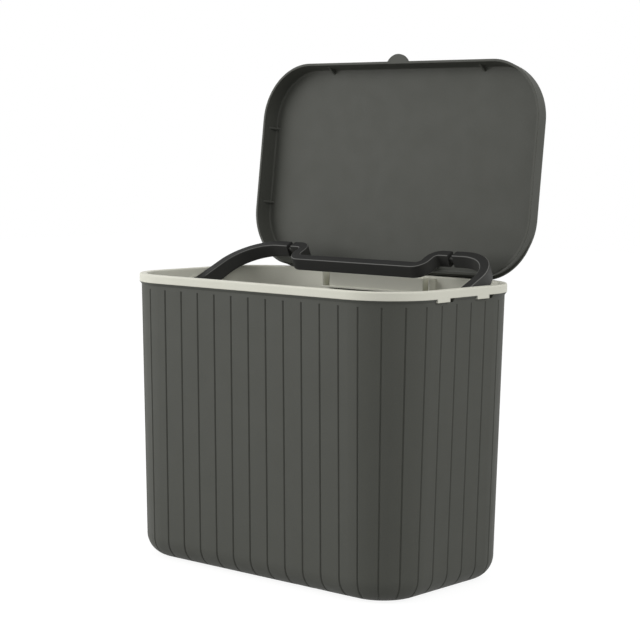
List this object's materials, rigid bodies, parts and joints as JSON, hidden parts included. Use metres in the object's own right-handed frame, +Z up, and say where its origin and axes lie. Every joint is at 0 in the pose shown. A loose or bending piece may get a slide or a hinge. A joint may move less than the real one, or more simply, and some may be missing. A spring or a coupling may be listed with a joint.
{
  "type": "trash can",
  "caption": "Rounded rectangular kitchen trash can with vertical grooves, a pale lift-off bag rim, a hinged lid with a thumb tab and a folding carrying handle.",
  "frame": {"origin": "middle of the flat base, on the surface the can stands on", "axes": "+X along the long sides, -Y out of the front, where the lid's thumb tab is when it is closed, +Z up"},
  "size_m": [0.3, 0.2032, 0.4264],
  "materials": {
    "body": "matt dark grey-green",
    "rim": "matt pale warm grey",
    "handle": "matt black"
  },
  "bodies": {
    "body": {"body_shell": "body"},
    "rim": {"rim_frame": "rim", "hinge_cover": "rim", "lid_hinge_pin_left": "rim", "lid_hinge_pin_right": "rim"},
    "lid": {"lid_shell": "body"},
    "pivots": {"handle_pivot_pin_left": "handle", "handle_pivot_pin_right": "handle"},
    "handle": {"handle_arm_left": "handle", "handle_arm_right": "handle", "handle_grip": "handle", "grip_pin_left": "handle", "grip_pin_right": "handle"}
  },
  "joints": [
    {"name": "rim_lift", "type": "slide", "parent": "body", "child": "rim", "axis": [0, 0, 1], "range_m": [0, 0.06]},
    {"name": "lid_hinge", "type": "hinge", "parent": "rim", "child": "lid", "pos_m": [0, 0.0848, 0.2458], "axis": [1, 0, 0], "range_deg": [0, 96.5]},
    {"name": "handle_sink", "type": "slide", "parent": "rim", "child": "pivots", "axis": [0, 0, 1], "range_m": [-0.009, 0]},
    {"name": "handle_swing", "type": "hinge", "parent": "pivots", "child": "handle", "pos_m": [0, 0, 0.2247], "axis": [1, 0, 0], "range_deg": [0, 158]}
  ],
  "couplings": [
    {"joint": "handle_sink", "follows": "lid_hinge", "m_per_rad": -0.00534}
  ]
}
